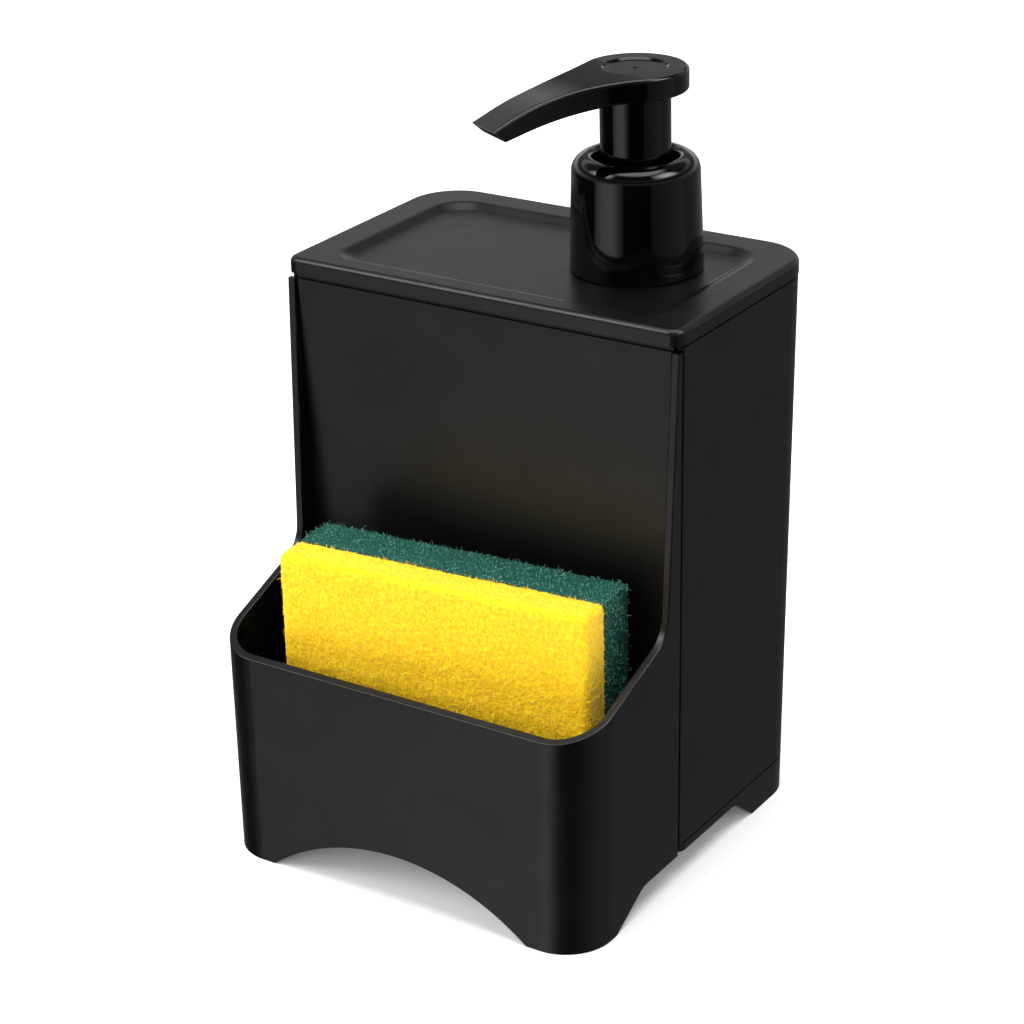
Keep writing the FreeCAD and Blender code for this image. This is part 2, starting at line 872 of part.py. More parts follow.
def head_plan():
    """Outline of the head from above: a disc that flows into a parallel spout along +X."""
    centre_v = spout_half_width + spout_flare_radius
    centre_distance = head_radius + spout_flare_radius
    centre = Vector(math.sqrt(centre_distance ** 2 - centre_v ** 2), centre_v, 0)
    to_disc = (Vector(0, 0, 0) - centre).normalize()
    leave = centre + to_disc * spout_flare_radius
    middle = centre + (to_disc + Vector(0, -1, 0)).normalize() * spout_flare_radius
    arrive = Vector(centre.x, spout_half_width, 0)
    tip = Vector(spout_reach + overrun, spout_half_width, 0)
    leave_right, middle_right, arrive_right, tip_right = [
        Vector(point.x, -point.y, 0) for point in (leave, middle, arrive, tip)
    ]
    return Part.Wire([
        Part.Arc(leave, Vector(-head_radius, 0, 0), leave_right).toShape(),
        Part.Arc(leave_right, middle_right, arrive_right).toShape(),
        Part.makeLine(arrive_right, tip_right),
        Part.makeLine(tip_right, tip),
        Part.makeLine(tip, arrive),
        Part.Arc(arrive, middle, leave).toShape(),
    ])


def head_line(level, shares, start, extra):
    """Line of the head seen from the side: level over the disc, then falling to the tip."""
    points = [Vector(along * spout_reach, 0, level - drop * spout_reach) for along, drop in shares]
    curve = Part.BSplineCurve()
    last_leg = (points[-1] - points[-2]).normalize()
    curve.interpolate(points, InitialTangent=Vector(1, 0, 0), FinalTangent=last_leg)
    edges = [Part.makeLine(Vector(start, 0, level), points[0]), curve.toShape()]
    if extra > 0:
        edges.append(Part.makeLine(points[-1], points[-1] + last_leg * extra))
    return edges


def head_side(start, inset, extra, half_width):
    """Solid between the top line and the underside line, as wide as asked."""
    top = head_line(head_top - inset, spout_top_shares, start, extra)
    under = head_line(head_underside + inset, spout_under_shares, start, extra)
    end = Part.makeLine(top[-1].Vertexes[-1].Point, under[-1].Vertexes[-1].Point)
    back = Part.makeLine(Vector(start, 0, head_underside + inset), Vector(start, 0, head_top - inset))
    face = Part.Face(Part.Wire(Part.__sortEdges__(top + [end] + under + [back])))
    face.translate(Vector(0, -half_width, 0))
    return face.extrude(Vector(0, 2 * half_width, 0))


def head_block():
    """Disc and spout in one, with rounded edges along the top and the underside."""
    plan = Part.Face(head_plan())
    plan.translate(Vector(0, 0, head_underside - reach))
    far_side = head_radius + overrun
    block = plan.extrude(Vector(0, 0, 2 * reach)).common(head_side(-far_side, 0, 0, far_side))
    outline = head_plan()
    top_line = Part.Wire(head_line(head_top, spout_top_shares, -far_side, 0))
    top_edges = []
    underside_edges = []
    for edge in block.Edges:
        first = edge.valueAt(edge.FirstParameter)
        last = edge.valueAt(edge.LastParameter)
        middle = edge.valueAt((edge.FirstParameter + edge.LastParameter) / 2)
        run = math.hypot(first.x - last.x, first.y - last.y)
        steep = abs(first.z - last.z) > edge_slope_limit_share * run
        off_outline = outline.distToShape(Part.Vertex(middle.x, middle.y, 0))[0] > edge_tolerance
        if steep or off_outline:
            continue
        above = top_line.distToShape(Part.Vertex(middle.x, 0, middle.z))[0] < edge_tolerance
        (top_edges if above else underside_edges).append(edge)
    block = block.makeFillet(head_top_round, top_edges)
    return block.makeFillet(head_underside_round, underside_edges)


def on_pump(shape):
    """Turns a shape made along +X to the spout's bearing, and moves it to the pump's axis."""
    shape.rotate(Vector(0, 0, 0), Vector(0, 0, 1), 180 + spout_bearing)
    shape.translate(Vector(pump_x, pump_y, 0))
    return shape


def actuator_head():
    channel_half_width = spout_half_width - spout_wall
    head = head_block().cut(head_side(-stem_bore_radius, spout_wall, overrun, channel_half_width))
    head = on_pump(head)
    socket_bore = stem_radius + socket_clearance
    for outer, inner, foot in (
        (skirt_radius, skirt_radius - skirt_wall, skirt_foot),
        (socket_bore + socket_wall, socket_bore, stem_top - socket_length),
    ):
        head = head.fuse(turned([
            (inner, foot, 0),
            (outer, foot, 0),
            (outer, head_underside + spout_wall / 2, 0),
            (inner, head_underside + spout_wall / 2, 0),
        ]))
    axis_foot = Vector(pump_x, pump_y, head_underside - spout_wall)
    head = head.cut(Part.makeCylinder(feed_radius, 2 * spout_wall + spout_wall / 2, axis_foot))
    dish_floor = head_top - dish_depth
    head = head.cut(turned([
        (0, dish_floor - gate_mark_depth, 0),
        (gate_mark_radius, dish_floor - gate_mark_depth, 0),
        (gate_mark_radius, dish_floor, 0),
        (dish_radius, dish_floor, 0),
        (dish_radius + dish_edge_width, head_top, 0),
        (dish_radius + dish_edge_width, head_top + overrun, 0),
        (0, head_top + overrun, 0),
    ]))
    return head.removeSplitter()


def sponge_layer(front_offset, thickness):
    """One layer of the sponge, standing on the ribs and turned a little."""
    block = box_between(
        Vector(-sponge_length / 2, front_offset - sponge_thickness / 2, 0),
        Vector(sponge_length / 2, front_offset + thickness - sponge_thickness / 2, sponge_height),
    )
    upright = [edge for edge in block.Edges if edge.BoundBox.ZLength > sponge_height / 2]
    outer = [edge for edge in upright
             if abs(abs(edge.BoundBox.Center.y) - sponge_thickness / 2) < edge_tolerance]
    block = block.makeFillet(sponge_corner_round, outer)
    block.rotate(Vector(0, 0, 0), Vector(0, 0, 1), sponge_turn)
    block.translate(Vector(sponge_x, sponge_y, sponge_foot))
    return block


def sponge_foam():
    return sponge_layer(0, foam_thickness)


def scourer_pad():
    return sponge_layer(foam_thickness, scourer_thickness)


builders = (
    front_caddy,
    reservoir,
    base_foot,
    lid,
    lid_seal,
    pump_closure,
    neck_gasket,
    pump_cylinder,
    dip_tube,
    inlet_ball,
    ball_retainer,
    chaplet,
    stem,
    stem_plug,
    piston,
    return_spring,
    actuator_head,
    sponge_foam,
    scourer_pad,
)

os.makedirs("parts", exist_ok=True)
for builder in builders:
    shape = builder()
    box = shape.optimalBoundingBox()
    size = [round(length, 1) for length in (box.XLength, box.YLength, box.ZLength)]
    print(builder.__name__, "valid", shape.isValid(), "volume", round(shape.Volume), "size", size)
    shape.exportStep("parts/" + builder.__name__ + ".step")
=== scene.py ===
import json
import math

import bmesh
import bpy
from mathutils import Matrix, Vector, noise

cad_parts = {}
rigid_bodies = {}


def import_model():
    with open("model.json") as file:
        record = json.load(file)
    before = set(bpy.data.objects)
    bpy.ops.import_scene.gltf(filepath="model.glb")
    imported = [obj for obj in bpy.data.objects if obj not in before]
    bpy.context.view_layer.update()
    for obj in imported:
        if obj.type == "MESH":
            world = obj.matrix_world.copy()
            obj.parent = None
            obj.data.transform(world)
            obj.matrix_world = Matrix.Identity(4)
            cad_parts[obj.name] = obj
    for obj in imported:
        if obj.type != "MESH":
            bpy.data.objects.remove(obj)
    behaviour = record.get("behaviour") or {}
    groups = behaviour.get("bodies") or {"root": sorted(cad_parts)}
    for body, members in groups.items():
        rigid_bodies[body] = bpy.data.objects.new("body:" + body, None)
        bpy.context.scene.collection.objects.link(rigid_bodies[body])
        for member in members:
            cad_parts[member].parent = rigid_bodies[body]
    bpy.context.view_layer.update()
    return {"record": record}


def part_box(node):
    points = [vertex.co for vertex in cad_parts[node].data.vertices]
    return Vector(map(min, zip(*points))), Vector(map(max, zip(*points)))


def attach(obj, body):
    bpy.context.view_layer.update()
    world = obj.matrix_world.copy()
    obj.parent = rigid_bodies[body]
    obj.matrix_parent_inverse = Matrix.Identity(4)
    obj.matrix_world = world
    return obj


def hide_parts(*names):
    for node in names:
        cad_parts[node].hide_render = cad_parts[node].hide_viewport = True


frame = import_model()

# Lengths are in millimetres and become metres by MM, but those of the studio are in metres
MM = 0.001

# Camera, as found from the edges of lid, seam and tray in the photograph
camera_azimuth = math.radians(33.73)
camera_elevation = math.radians(23.91)
camera_roll = math.radians(-1.67)
camera_distance = 703.6
camera_target = Vector((-2.5, 4.4, 81.7))
camera_lens = 98.8
sensor_width = 36.0
near_clip = 0.05

# Sponge, in the place of its two solids
sponge_length = 85.0
foam_thickness = 9.8
scourer_thickness = 12.6
sponge_height = 61.6
sponge_centre = Vector((1.2, -28.5, 0.0))
sponge_turn = math.radians(4.5)
foam_step = 0.55
foam_round = 1.6
scourer_step = 0.6
scourer_round = 0.7

# Even light of the room on the object
room_light = 0.42

# Floor, its own glow to the camera, and how far away that rises to white
floor_half = 3.0
floor_lift = 0.09
floor_fade_start = 0.4
floor_fade_end = 1.1

# What the polished parts mirror, as radiance by bearing in degrees from the bearing of the photograph
low_studio = ((-180, 0.22), (-150, 0.2), (-122, 0.02), (-82, 0.01), (-75, 0.55), (-60, 0.95), (-45, 1.05),
              (-36, 0.6), (-24, 0.02), (21, 0.0), (25, 0.1), (60, 0.2), (84, 0.26), (92, 0.16), (120, 0.14),
              (150, 0.22), (180, 0.22))
high_studio = ((-180, 1.0), (-140, 0.85), (-110, 0.6), (-90, 0.4), (-60, 0.3), (60, 0.3), (90, 0.45),
               (120, 0.65), (150, 0.85), (180, 1.0))
low_end = -0.1
high_start = 0.15
# The same by height, as the sine of the elevation, for backdrop, side strips and ceiling light
backdrop_fade = ((0.0, 1.0), (0.2, 1.0), (0.26, 0.2), (0.39, 0.16), (0.45, 0.8), (0.52, 0.6), (0.6, 0.14),
                 (1.0, 0.14))
strip_bearing = ((-118, 0.0), (-92, 1.0), (-72, 1.0), (-52, 0.0), (30, 0.0), (58, 1.0), (78, 1.0),
                 (94, 0.0))
strip_height = ((0.48, 0.0), (0.62, 1.0), (0.76, 1.0), (0.88, 0.0))
strip_radiance = 7.0
ceiling_height = ((0.0, 0.0), (0.86, 0.0), (0.93, 1.0), (1.0, 1.0))
ceiling_radiance = 3.0

for leftover in ("Cube", "Light", "Camera"):
    if leftover in bpy.data.objects:
        bpy.data.objects.remove(bpy.data.objects[leftover])


def linear(hex_colour):
    """Linear RGBA from an sRGB hex colour."""
    channels = []
    for start in (0, 2, 4):
        value = int(hex_colour[start:start + 2], 16) / 255
        channels.append(value / 12.92 if value <= 0.04045 else ((value + 0.055) / 1.055) ** 2.4)
    return (*channels, 1.0)


def per_mm(size):
    """Texture scale for a pattern whose features are size millimetres wide."""
    return 1 / (size * MM)


def add_node(tree, kind, settings=None, **inputs):
    """Adds a node; inputs are values or sockets, named with _ for a space, or by place as _0, _1."""
    node = tree.nodes.new(kind)
    for name, value in (settings or {}).items():
        setattr(node, name, value)
    for name, value in inputs.items():
        key = int(name[1:]) if name[0] == "_" else name.replace("_", " ")
        socket = node.inputs[key]
        if isinstance(value, bpy.types.NodeSocket):
            tree.links.new(value, socket)
        else:
            socket.default_value = value
    return node


def times(tree, first, second):
    return add_node(tree, "ShaderNodeMath", {"operation": "MULTIPLY"}, _0=first, _1=second).outputs[0]


def new_material(name):
    material = bpy.data.materials.new(name)
    material.use_nodes = True
    tree = material.node_tree
    tree.nodes.clear()
    return material, tree


def finish_material(tree, shader):
    add_node(tree, "ShaderNodeOutputMaterial", Surface=shader.outputs[0])


def object_point(tree):
    return add_node(tree, "ShaderNodeTexCoord").outputs["Object"]


def noise_value(tree, point, size, detail=3.0, roughness=0.5):
    texture = add_node(tree, "ShaderNodeTexNoise", Vector=point, Scale=per_mm(size), Detail=detail,
                       Roughness=roughness)
    return texture.outputs[0]


def spread(tree, value, low, high):
    """Maps a noise value to a range."""
    mapped = add_node(tree, "ShaderNodeMapRange", Value=value, From_Min=0.3, From_Max=0.7, To_Min=low,
                      To_Max=high)
    return mapped.outputs[0]


def two_colours(tree, value, dark, light, start=0.35, end=0.65):
    """Colour between two tones of the material, by a noise value."""
    ramp = add_node(tree, "ShaderNodeValToRGB", Fac=value)
    ramp.color_ramp.elements[0].position = start
    ramp.color_ramp.elements[0].color = linear(dark)
    ramp.color_ramp.elements[1].position = end
    ramp.color_ramp.elements[1].color = linear(light)
    return ramp.outputs["Color"]


def bump(tree, height, depth, strength=1.0, normal=None):
    settings = {"Height": height, "Distance": depth * MM, "Strength": strength}
    if normal is not None:
        settings["Normal"] = normal
    return add_node(tree, "ShaderNodeBump", None, **settings).outputs[0]


def satin_moulded_abs(name, dark, light, smooth, rough, grain):
    """Black ABS out of a finely spark-eroded mould: an even satin with a slight orange peel."""
    material, tree = new_material(name)
    point = object_point(tree)
    peel = bump(tree, noise_value(tree, point, 7.0, 1.0), 0.035, 0.5)
    grain_bump = bump(tree, noise_value(tree, point, grain, 2.0), 0.012, 0.55, peel)
    cloud = noise_value(tree, point, 24.0, 2.0)
    shader = add_node(
        tree, "ShaderNodeBsdfPrincipled",
        Base_Color=two_colours(tree, cloud, dark, light),
        Roughness=spread(tree, noise_value(tree, point, 9.0, 2.0), smooth, rough),
        IOR=1.47,
        Normal=grain_bump,
    )
    finish_material(tree, shader)
    return material


def glossy_moulded_abs(name, dark, light):
    """Pump parts from a polished mould: deep black with sharp reflections and faint flow waves."""
    material, tree = new_material(name)
    point = object_point(tree)
    waves = bump(tree, noise_value(tree, point, 11.0, 1.0), 0.02, 0.35)
    shader = add_node(
        tree, "ShaderNodeBsdfPrincipled",
        Base_Color=two_colours(tree, noise_value(tree, point, 16.0, 1.0), dark, light),
        Roughness=spread(tree, noise_value(tree, point, 5.0, 2.0), 0.05, 0.085),
        IOR=1.5,
        Normal=waves,
    )
    finish_material(tree, shader)
    return material


def milky_polyolefin(name):
    """Unpigmented polypropylene or polyethylene: milky, and light passes a little way into it."""
    material, tree = new_material(name)
    point = object_point(tree)
    shader = add_node(
        tree, "ShaderNodeBsdfPrincipled",
        Base_Color=two_colours(tree, noise_value(tree, point, 14.0), "ccceca", "d6d8d3"),
        Roughness=spread(tree, noise_value(tree, point, 2.0), 0.28, 0.4),
        IOR=1.49,
        Subsurface_Weight=0.3,
        Subsurface_Scale=1.5 * MM,
    )
    finish_material(tree, shader)
    return material


def soft_rubber(name, dark, light):
    """Soft seal or gasket: dull, with a fine powdery grain."""
    material, tree = new_material(name)
    point = object_point(tree)
    shader = add_node(
        tree, "ShaderNodeBsdfPrincipled",
        Base_Color=two_colours(tree, noise_value(tree, point, 1.2), dark, light),
        Roughness=spread(tree, noise_value(tree, point, 0.8), 0.6, 0.8),
        Normal=bump(tree, noise_value(tree, point, 0.4), 0.03),
    )
    finish_material(tree, shader)
    return material


def drawn_steel(name, roughness):
    """Stainless wire or ball: bright metal with fine drawing marks."""
    material, tree = new_material(name)
    point = object_point(tree)
    shader = add_node(
        tree, "ShaderNodeBsdfPrincipled",
        Base_Color=two_colours(tree, noise_value(tree, point, 0.9), "a9abad", "c4c6c8"),
        Metallic=1.0,
        Roughness=spread(tree, noise_value(tree, point, 0.5), roughness, roughness + 0.1),
    )
    finish_material(tree, shader)
    return material


def open_cell_foam(name):
    """Polyurethane sponge foam: saturated yellow, paler and deeper in fine flecks at random, over a bumped
    relief of cells and pores.
    """
    material, tree = new_material(name)
    point = object_point(tree)
    cells = add_node(tree, "ShaderNodeTexVoronoi", {"feature": "F1"}, Vector=point, Scale=per_mm(0.7))
    fine = noise_value(tree, point, 0.5, 2.0)
    height = times(tree, cells.outputs["Distance"], fine)
    tone = two_colours(tree, noise_value(tree, point, 0.9, 3.0, 0.65), "f4b600", "ffd818", 0.36, 0.62)
    shader = add_node(
        tree, "ShaderNodeBsdfPrincipled",
        Base_Color=tone,
        Roughness=0.92,
        Subsurface_Weight=0.35,
        Subsurface_Radius=(1.0, 0.8, 0.15),
        Subsurface_Scale=1.6 * MM,
        Sheen_Weight=0.15,
        Normal=bump(tree, height, 0.5, 0.8),
    )
    finish_material(tree, shader)
    return material


def foam_strut_plastic(name):
    """Torn cell walls on the foam's skin, which catch the light as pale flecks."""
    material, tree = new_material(name)
    point = object_point(tree)
    shader = add_node(
        tree, "ShaderNodeBsdfPrincipled",
        Base_Color=two_colours(tree, noise_value(tree, point, 1.4), "fdc802", "ffea62"),
        Roughness=0.6,
        Sheen_Weight=0.2,
    )
    finish_material(tree, shader)
    return material


def scouring_fleece(name, dark, light):
    """Non-woven nylon scouring fleece: dark green resin-bonded fibres with lighter glints."""
    material, tree = new_material(name)
    point = object_point(tree)
    tangle = noise_value(tree, point, 0.8, 4.0, 0.7)
    shader = add_node(
        tree, "ShaderNodeBsdfPrincipled",
        Base_Color=two_colours(tree, tangle, dark, light, 0.38, 0.66),
        Roughness=0.7,
        Normal=bump(tree, tangle, 0.4, 0.9),
    )
    finish_material(tree, shader)
    return material


materials = {
    "body_plastic": satin_moulded_abs("satin_black_abs", "040405", "080809", 0.29, 0.36, 0.45),
    "pump_plastic": glossy_moulded_abs("gloss_black_abs", "010101", "040404"),
    "natural_plastic": milky_polyolefin("natural_polypropylene"),
    "piston_plastic": milky_polyolefin("white_polyethylene"),
    "seal_rubber": soft_rubber("black_seal_rubber", "0c0c0d", "171718"),
    "gasket_foam": soft_rubber("white_gasket_foam", "d8d8d4", "ecece8"),
    "spring_steel": drawn_steel("stainless_spring_wire", 0.25),
    "ball_steel": drawn_steel("polished_steel_ball", 0.08),
    "sponge_foam": open_cell_foam("yellow_sponge_foam"),
    "scourer_fibre": scouring_fleece("green_scouring_fleece", "07302a", "1a5c4d"),
}
tank_plastic = satin_moulded_abs("matt_black_abs", "040405", "080809", 0.4, 0.47, 0.45)
strut_material = foam_strut_plastic("yellow_foam_struts")
fibre_material = scouring_fleece("green_scouring_fibres", "175646", "9ad9c6")

for part in frame["record"]["subparts"]:
    node = bpy.data.objects[part["node"]]
    node.data.materials.clear()
    finish = tank_plastic if part["node"] == "reservoir" else materials[part["material_slot"]]
    node.data.materials.append(finish)


def rounded_block(size, step, radius):
    """Closed block of small quads with rounded edges, about its middle, sizes in millimetres."""
    block = bmesh.new()
    counts = [max(2, round(length / step)) for length in size]
    half = [length / 2 for length in size]
    lookup = {}

    def corner(i, j, k):
        key = (i, j, k)
        if key not in lookup:
            place = Vector([size[axis] * key[axis] / counts[axis] - half[axis] for axis in range(3)])
            limits = [half[axis] - radius for axis in range(3)]
            inner = Vector([max(-limits[axis], min(limits[axis], place[axis])) for axis in range(3)])
            away = place - inner
            lookup[key] = block.verts.new(inner + away.normalized() * radius)
        return lookup[key]

    for axis in range(3):
        first, second = (axis + 1) % 3, (axis + 2) % 3
        for side in (0, counts[axis]):
            for u in range(counts[first]):
                for v in range(counts[second]):
                    ring = []
                    for du, dv in ((0, 0), (1, 0), (1, 1), (0, 1)):
                        index = [0, 0, 0]
                        index[axis] = side
                        index[first] = u + du
                        index[second] = v + dv
                        ring.append(corner(*index))
                    block.faces.new(ring if side else ring[::-1])
    block.normal_update()
    return block


def sponge_layer(name, front_offset, thickness, step, radius, relief, material):
    """One layer of the sponge with its surface relief, placed and turned as its solid is."""
    size = (sponge_length, thickness, sponge_height)
    block = rounded_block(size, step, radius)
    moves = [(vert, vert.normal * relief(vert.co)) for vert in block.verts]
    for vert, move in moves:
        vert.co += move
    sponge_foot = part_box("sponge_foam")[0][2]
    depth = foam_thickness + scourer_thickness
    middle = Vector((0, front_offset + thickness / 2 - depth / 2, sponge_height / 2))
    turn = Matrix.Rotation(sponge_turn, 4, "Z")
    place = Matrix.Translation(sponge_centre * MM + Vector((0, 0, sponge_foot)))
    block.transform(place @ turn @ Matrix.Scale(MM, 4) @ Matrix.Translation(middle))
    mesh = bpy.data.meshes.new(name)
    block.to_mesh(mesh)
    block.free()
    for polygon in mesh.polygons:
        polygon.use_smooth = True
    piece = bpy.data.objects.new(name, mesh)
    bpy.context.collection.objects.link(piece)
    mesh.materials.append(material)
    return piece


def foam_relief(point):
    """Pores and broken cell walls of the foam, in millimetres out of the surface."""
    near = noise.voronoi(point / 0.95)[0][0]
    grain = noise.noise(point / 0.5)
    sag = noise.noise(point / 14.0)
    return -0.3 + 0.5 * near + 0.16 * grain + 0.25 * sag


def scourer_relief(point):
    """Tangled hollows of the scouring fleece, in millimetres out of the surface."""
    tangle = noise.fractal(point / 0.9, 1.0, 2.0, 3)
    sag = noise.noise(point / 9.0)
    return -0.3 + 0.34 * tangle + 0.15 * sag


foam = sponge_layer("foam_block", 0, foam_thickness, foam_step, foam_round, foam_relief,
                    materials["sponge_foam"])
scourer = sponge_layer("scourer_block", foam_thickness, scourer_thickness, scourer_step, scourer_round,
                       scourer_relief, materials["scourer_fibre"])


def strand_tree(name, material):
    """Rule that strews short bent strands over a surface, each turned at random."""
    tree = bpy.data.node_groups.new(name, "GeometryNodeTree")
    tree.interface.new_socket("Surface", in_out="INPUT", socket_type="NodeSocketGeometry")
    for title in ("Strands per mm2", "Length mm", "Thickness mm", "Bend share", "Shortest", "Longest"):
        tree.interface.new_socket(title, in_out="INPUT", socket_type="NodeSocketFloat")
    tree.interface.new_socket("Seed", in_out="INPUT", socket_type="NodeSocketInt")
    tree.interface.new_socket("Strands", in_out="OUTPUT", socket_type="NodeSocketGeometry")
    source = add_node(tree, "NodeGroupInput").outputs

    length = times(tree, source["Length mm"], MM)
    bend = times(tree, length, source["Bend share"])
    end = add_node(tree, "ShaderNodeCombineXYZ", X=length).outputs[0]
    half_length = times(tree, length, 0.5)
    middle = add_node(tree, "ShaderNodeCombineXYZ", X=half_length, Z=bend).outputs[0]
    strand = add_node(tree, "GeometryNodeCurveQuadraticBezier", Resolution=2, Start=(0, 0, 0), Middle=middle,
                      End=end)
    thickness = times(tree, source["Thickness mm"], 0.5 * MM)
    section = add_node(tree, "GeometryNodeCurvePrimitiveCircle", Resolution=3, Radius=thickness)
    tube = add_node(tree, "GeometryNodeCurveToMesh", Curve=strand.outputs[0], _1=section.outputs[0])
    density = times(tree, source["Strands per mm2"], 1 / MM ** 2)
    points = add_node(tree, "GeometryNodeDistributePointsOnFaces", Mesh=source["Surface"], Density=density,
                      Seed=source["Seed"])
    tumble = add_node(tree, "FunctionNodeRandomValue", {"data_type": "FLOAT_VECTOR"}, Seed=source["Seed"])
    tumble.inputs[0].default_value = (-math.pi, -math.pi, -math.pi)
    tumble.inputs[1].default_value = (math.pi, math.pi, math.pi)
    growth = add_node(tree, "FunctionNodeRandomValue", {"data_type": "FLOAT"}, Seed=source["Seed"])
    tree.links.new(source["Shortest"], growth.inputs[2])
    tree.links.new(source["Longest"], growth.inputs[3])
    strewn = add_node(tree, "GeometryNodeInstanceOnPoints", Points=points.outputs["Points"],
                      Instance=tube.outputs[0], Rotation=tumble.outputs[0], Scale=growth.outputs[1])
    solid = add_node(tree, "GeometryNodeRealizeInstances", Geometry=strewn.outputs[0])
    dressed = add_node(tree, "GeometryNodeSetMaterial", Geometry=solid.outputs[0], Material=material)
    add_node(tree, "NodeGroupOutput", Strands=dressed.outputs[0])
    return tree


def strewn_strands(name, surface, material, values, seed):
    """Plain mesh of strands strewn over a copy of a surface."""
    tree = strand_tree(name + "_rule", material)
    carrier = bpy.data.objects.new(name + "_carrier", surface.data)
    bpy.context.collection.objects.link(carrier)
    modifier = carrier.modifiers.new("strands", "NODES")
    modifier.node_group = tree
    sockets = {item.name: item.identifier for item in tree.interface.items_tree if item.in_out == "INPUT"}
    for title, value in values.items():
        modifier[sockets[title]] = value
    modifier[sockets["Seed"]] = seed
    bpy.context.view_layer.update()
    evaluated = carrier.evaluated_get(bpy.context.evaluated_depsgraph_get())
    mesh = bpy.data.meshes.new_from_object(evaluated)
    mesh.name = name
    carrier.modifiers.clear()
    bpy.data.objects.remove(carrier)
    piece = bpy.data.objects.new(name, mesh)
    bpy.context.collection.objects.link(piece)
    return piece


# Strand sets, each with its strands per square millimetre, length, thickness and seed
strand_bend = 0.42
strand_growth = (0.5, 1.3)
strand_sets = []
for name, surface, material, slot, density, length, thickness, seed in (
    ("foam_struts_fine", foam, strut_material, "sponge_foam", 0.78, 0.45, 0.09, 6),
    ("foam_struts_short", foam, strut_material, "sponge_foam", 0.78, 0.6, 0.08, 7),
    ("foam_struts_long", foam, strut_material, "sponge_foam", 0.8, 0.95, 0.07, 8),
    ("scourer_fibres_fine", scourer, fibre_material, "scourer_fibre", 0.74, 0.55, 0.09, 10),
    ("scourer_fibres_short", scourer, fibre_material, "scourer_fibre", 0.74, 0.75, 0.1, 11),
    ("scourer_fibres_long", scourer, fibre_material, "scourer_fibre", 0.76, 1.15, 0.1, 12),
):
    values = {
        "Strands per mm2": density,
        "Length mm": length,
        "Thickness mm": thickness,
        "Bend share": strand_bend,
        "Shortest": strand_growth[0],
        "Longest": strand_growth[1],
    }
    strand_sets.append((strewn_strands(name, surface, material, values, seed), slot))

for piece, slot in [(foam, "sponge_foam"), (scourer, "scourer_fibre")] + strand_sets:
    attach(piece, "sponge")
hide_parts("sponge_foam")
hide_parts("scourer_pad")


def studio_floor():
    """Plain white floor that keeps the soft shadow round the feet."""
    mesh = bpy.data.meshes.new("studio_floor")
    corners = [(x * floor_half, y * floor_half, 0) for x, y in ((-1, -1), (1, -1), (1, 1), (-1, 1))]
    mesh.from_pydata(corners, [], [(0, 1, 2, 3)])
    floor = bpy.data.objects.new("studio_floor", mesh)
    bpy.context.collection.objects.link(floor)
    material, tree = new_material("white_studio_floor")
    path = add_node(tree, "ShaderNodeLightPath").outputs
    reach = add_node(tree, "ShaderNodeVectorMath", {"operation": "LENGTH"}, _0=object_point(tree))
    fade = add_node(tree, "ShaderNodeMapRange", Value=reach.outputs["Value"], From_Min=floor_fade_start,
                    From_Max=floor_fade_end, To_Min=floor_lift, To_Max=1.0)
    lift = times(tree, path["Is Camera Ray"], fade.outputs[0])
    shader = add_node(
        tree, "ShaderNodeBsdfPrincipled",
        Base_Color=linear("f4f4f4"),
        Roughness=0.9,
        Specular_IOR_Level=0.1,
        Emission_Color=(1, 1, 1, 1),
        Emission_Strength=lift,
    )
    finish_material(tree, shader)
    mesh.materials.append(material)
    floor.visible_glossy = False


studio_floor()


def ramp_through(tree, place, stops):
    """Value that runs through stops (place, value) along a place from 0 to 1."""
    ramp = add_node(tree, "ShaderNodeValToRGB", Fac=place)
    peak = max(value for at, value in stops)
    elements = ramp.color_ramp.elements
    while len(elements) < len(stops):
        elements.new(0.5)
    for element, (at, value) in zip(elements, stops):
        element.position = at
        element.color = (value / peak, value / peak, value / peak, 1)
    return times(tree, ramp.outputs[0], peak)


def by_bearing(tree, bearing, stops):
    return ramp_through(tree, bearing, [((degrees + 180) / 360, value) for degrees, value in stops])


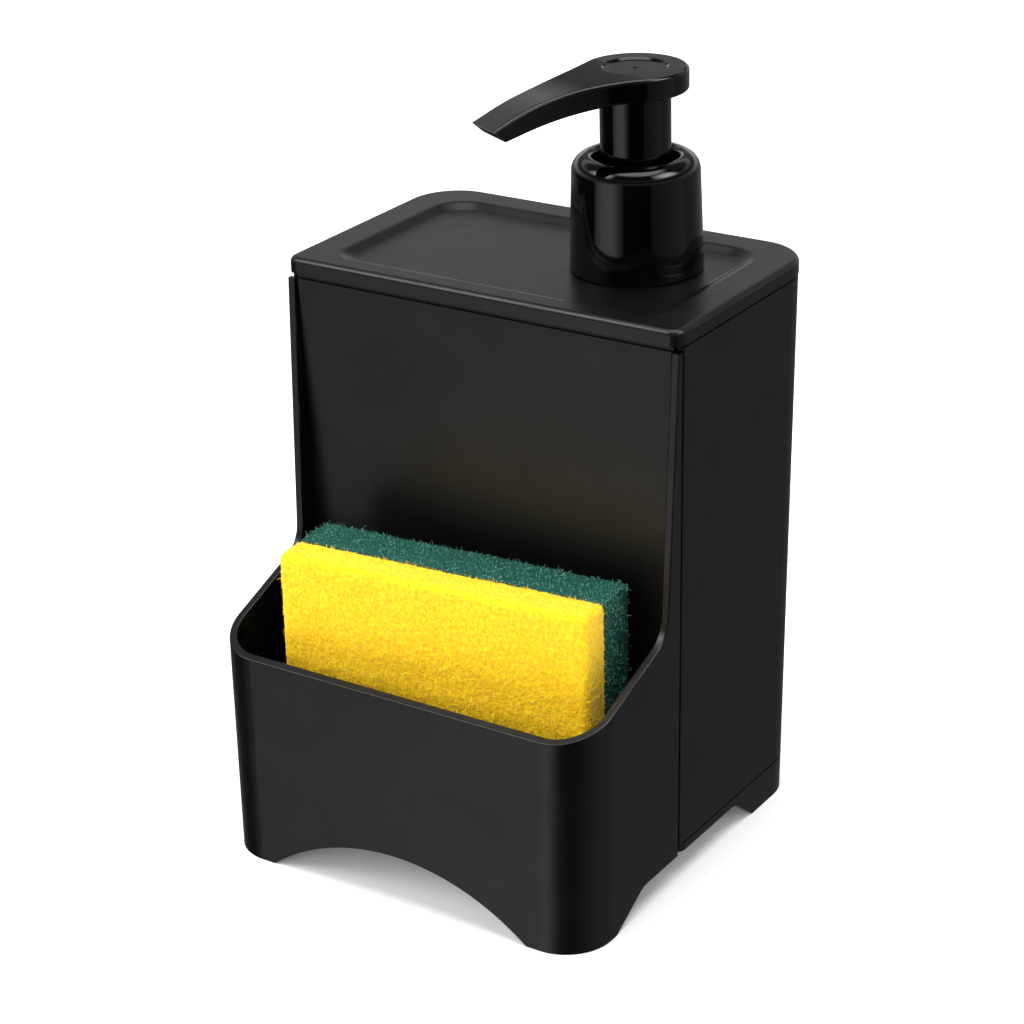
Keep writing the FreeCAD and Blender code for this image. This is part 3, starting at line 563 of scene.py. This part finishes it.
def studio_world():
    """White behind the object, panels and dark gaps in what it mirrors, and an even dim room for the rest."""
    world = bpy.data.worlds.new("studio")
    bpy.context.scene.world = world
    world.cycles.sampling_method = "NONE"
    world.use_nodes = True
    tree = world.node_tree
    tree.nodes.clear()
    path = add_node(tree, "ShaderNodeLightPath").outputs
    seen = add_node(tree, "ShaderNodeMath", {"operation": "MAXIMUM"}, _0=path["Is Camera Ray"],
                    _1=path["Is Transmission Ray"])
    direction = add_node(tree, "ShaderNodeTexCoord").outputs["Generated"]
    turned = add_node(tree, "ShaderNodeVectorRotate", {"rotation_type": "Z_AXIS"}, Vector=direction,
                      Angle=-camera_azimuth)
    parts = add_node(tree, "ShaderNodeSeparateXYZ", Vector=turned.outputs[0]).outputs
    ahead = times(tree, parts["Y"], -1.0)
    angle = add_node(tree, "ShaderNodeMath", {"operation": "ARCTAN2"}, _0=parts["X"], _1=ahead)
    bearing = add_node(tree, "ShaderNodeMapRange", Value=angle.outputs[0], From_Min=-math.pi,
                       From_Max=math.pi)
    rise = add_node(tree, "ShaderNodeMapRange", {"interpolation_type": "SMOOTHSTEP"}, Value=parts["Z"],
                    From_Min=low_end, From_Max=high_start)
    low = by_bearing(tree, bearing.outputs[0], low_studio)
    high = times(tree, by_bearing(tree, bearing.outputs[0], high_studio),
                 ramp_through(tree, parts["Z"], backdrop_fade))
    strips = times(tree, by_bearing(tree, bearing.outputs[0], strip_bearing),
                   ramp_through(tree, parts["Z"], strip_height))
    around = add_node(tree, "ShaderNodeMix", Factor=rise.outputs[0], _2=low, _3=high)
    below = add_node(tree, "ShaderNodeMath", {"operation": "MULTIPLY_ADD"}, _0=strips, _1=strip_radiance,
                     _2=around.outputs[0])
    ceiling = ramp_through(tree, parts["Z"], ceiling_height)
    mirrored = add_node(tree, "ShaderNodeMath", {"operation": "MULTIPLY_ADD"}, _0=ceiling,
                        _1=ceiling_radiance, _2=below.outputs[0])
    panels = add_node(tree, "ShaderNodeBackground", Color=(1, 1, 1, 1), Strength=mirrored.outputs[0])
    room = add_node(tree, "ShaderNodeBackground", Color=(1, 1, 1, 1), Strength=room_light)
    lit = add_node(tree, "ShaderNodeMixShader", Fac=path["Is Glossy Ray"], _1=room.outputs[0],
                   _2=panels.outputs[0])
    white = add_node(tree, "ShaderNodeBackground", Color=(1, 1, 1, 1), Strength=1.0)
    mixed = add_node(tree, "ShaderNodeMixShader", Fac=seen.outputs[0], _1=lit.outputs[0], _2=white.outputs[0])
    add_node(tree, "ShaderNodeOutputWorld", Surface=mixed.outputs[0])


studio_world()


def softbox(name, place, width, height, power):
    """Rectangular soft light; what the object mirrors of the studio is in its world instead."""
    light = bpy.data.lights.new(name, "AREA")
    light.shape = "RECTANGLE"
    light.size = width
    light.size_y = height
    light.energy = power
    lamp = bpy.data.objects.new(name, light)
    bpy.context.collection.objects.link(lamp)
    direction = box_aim - Vector(place)
    lamp.location = place
    lamp.rotation_euler = direction.to_track_quat("-Z", "Y").to_euler()
    lamp.visible_camera = False
    lamp.visible_glossy = False


box_aim = Vector((0.0, 0.0, 0.1))
softbox("top_box", (0.0, 0.1, 1.6), 1.6, 1.2, 33)
softbox("left_box", (-1.25, -0.95, 0.8), 0.9, 0.9, 22)
softbox("right_box", (1.45, 0.2, 0.8), 0.7, 0.9, 4)
softbox("front_box", (0.4, -1.8, 1.0), 1.2, 0.9, 14)


def photo_camera():
    """Camera at the photograph's place."""
    back = Vector((
        math.sin(camera_azimuth) * math.cos(camera_elevation),
        -math.cos(camera_azimuth) * math.cos(camera_elevation),
        math.sin(camera_elevation),
    ))
    right = Vector((0, 0, 1)).cross(back).normalized()
    up = back.cross(right)
    rolled_right = right * math.cos(camera_roll) + up * math.sin(camera_roll)
    rolled_up = up * math.cos(camera_roll) - right * math.sin(camera_roll)
    place = (camera_target + back * camera_distance) * MM
    data = bpy.data.cameras.new("photo_camera")
    data.sensor_width = sensor_width
    data.lens = camera_lens
    data.clip_start = near_clip
    camera = bpy.data.objects.new("photo_camera", data)
    bpy.context.collection.objects.link(camera)
    camera.matrix_world = Matrix((
        (rolled_right.x, rolled_up.x, back.x, place.x),
        (rolled_right.y, rolled_up.y, back.y, place.y),
        (rolled_right.z, rolled_up.z, back.z, place.z),
        (0, 0, 0, 1),
    ))
    bpy.context.scene.camera = camera


photo_camera()
bpy.context.scene.view_settings.view_transform = "Standard"
